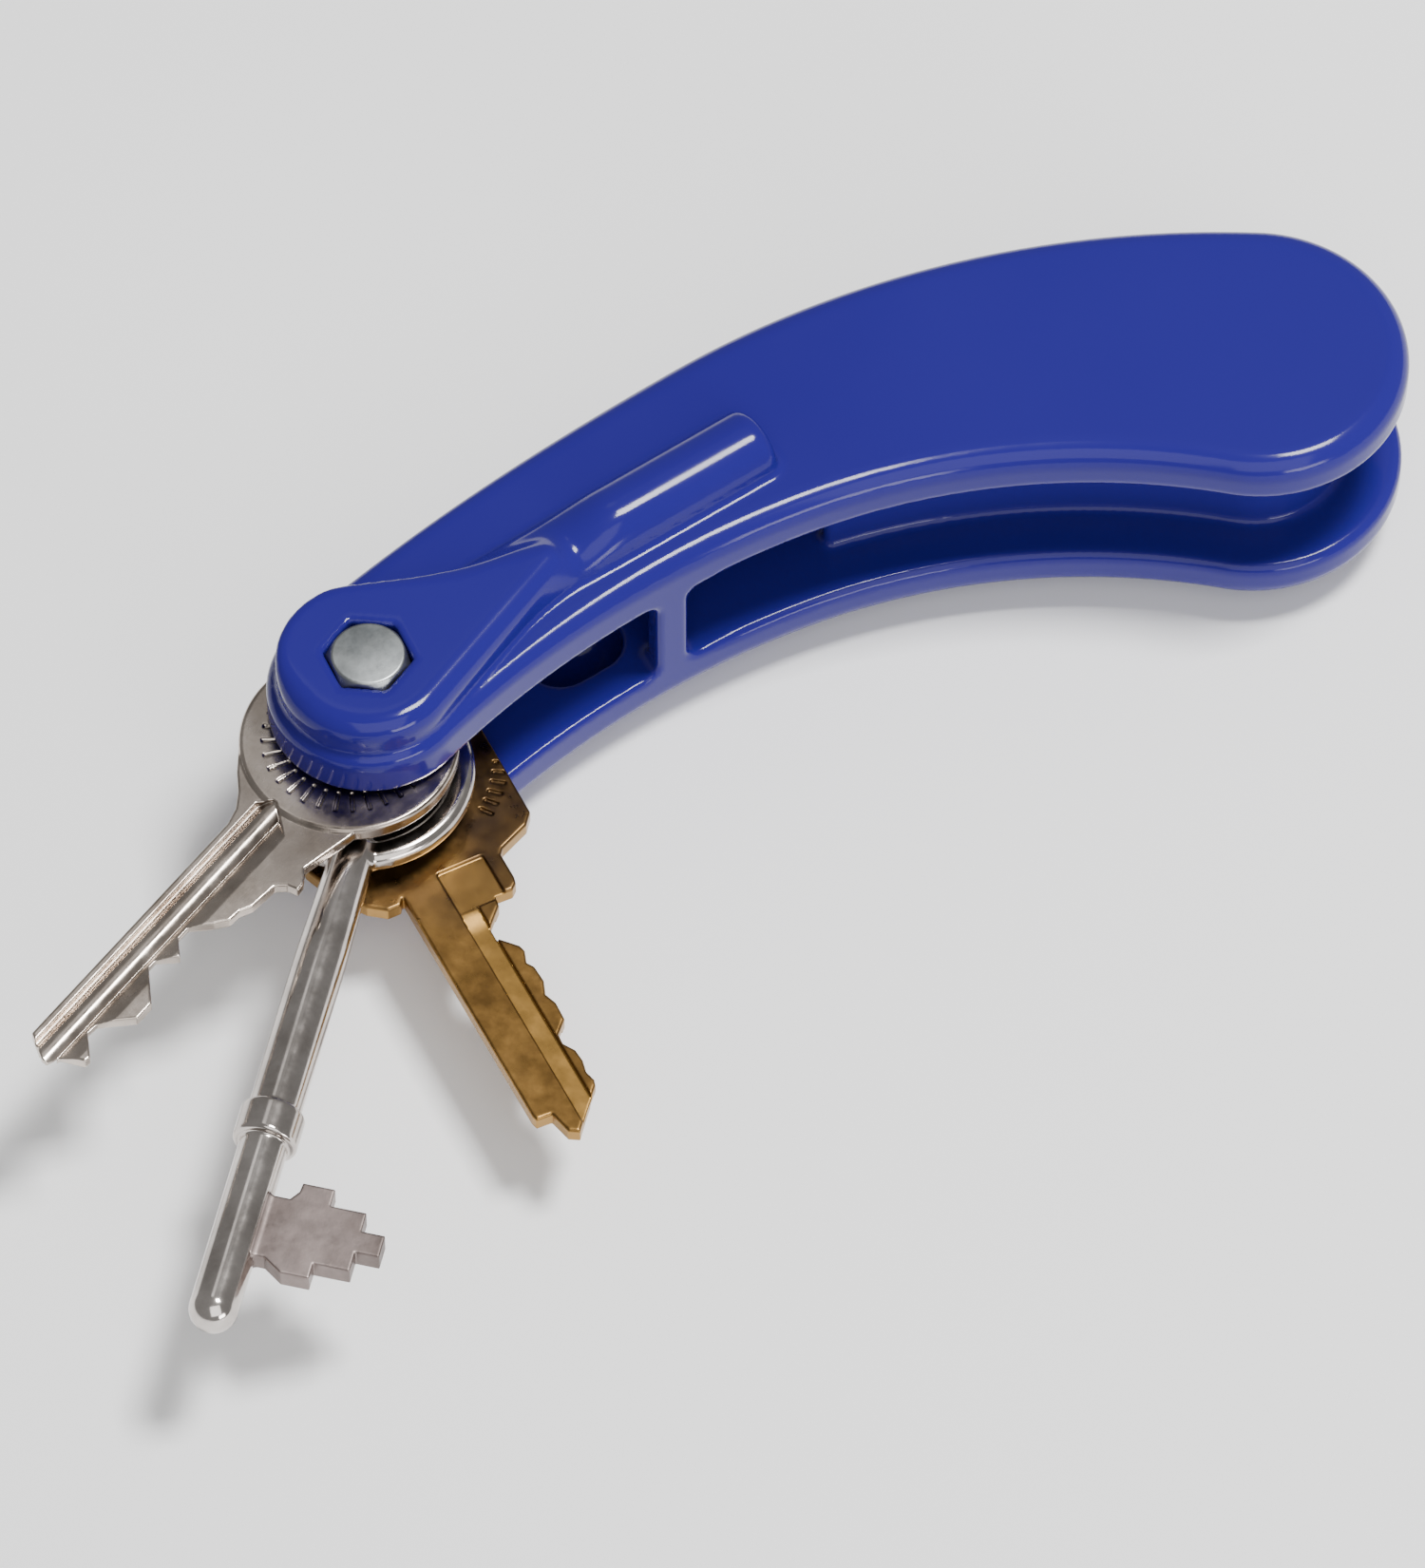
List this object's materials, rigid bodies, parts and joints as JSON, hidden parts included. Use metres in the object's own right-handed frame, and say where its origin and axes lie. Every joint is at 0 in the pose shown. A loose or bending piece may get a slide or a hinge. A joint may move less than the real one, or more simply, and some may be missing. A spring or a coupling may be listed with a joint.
{
  "type": "key organiser",
  "caption": "Curved two-cheek plastic key turner with cylinder and mortice keys fanned out on one pivot bolt at its round end.",
  "frame": {"origin": "on the pivot bolt's axis, in the plane of the back cheek's raised land, where the bolt's tip is flush with the resting face", "axes": "+Z along the pivot bolt towards its head, +X from the bolt to the middle of the handle's wide end, +Y towards the handle's convex edge"},
  "size_m": [0.1663, 0.0839, 0.0325],
  "materials": {
    "handle_plastic": "glossy royal blue",
    "bolt_zinc": "satin zinc",
    "nut_zinc": "satin zinc",
    "insert_nylon": "nylon",
    "washer_steel": "satin",
    "spacer_steel": "satin",
    "nickel": "worn nickel plate",
    "mortice_nickel": "polished nickel plate",
    "bit_steel": "matte",
    "aged_brass": "aged, dark in the recesses"
  },
  "bodies": {
    "handle": {"handle": "handle_plastic", "pivot_bolt": "bolt_zinc", "nut": "nut_zinc", "nut_insert": "insert_nylon", "cheek_washers": "washer_steel", "key_spacers": "spacer_steel"},
    "nickel_key": {"nickel_cylinder_key": "nickel"},
    "mortice_key": {"mortice_key_shank": "mortice_nickel", "mortice_key_bit": "bit_steel"},
    "brass_key": {"brass_cylinder_key": "aged_brass"}
  },
  "joints": [
    {"name": "nickel_key_pivot", "type": "hinge", "parent": "handle", "child": "nickel_key", "pos_m": [0, 0, 0.0207], "axis": [0, 0, 1], "range_deg": [-196, 136]},
    {"name": "mortice_key_pivot", "type": "hinge", "parent": "handle", "child": "mortice_key", "pos_m": [0, 0, 0.016], "axis": [0, 0, 1], "range_deg": [-221.6, 113]},
    {"name": "brass_key_pivot", "type": "hinge", "parent": "handle", "child": "brass_key", "pos_m": [0, 0, 0.0113], "axis": [0, 0, 1], "range_deg": [-258, 73]}
  ]
}
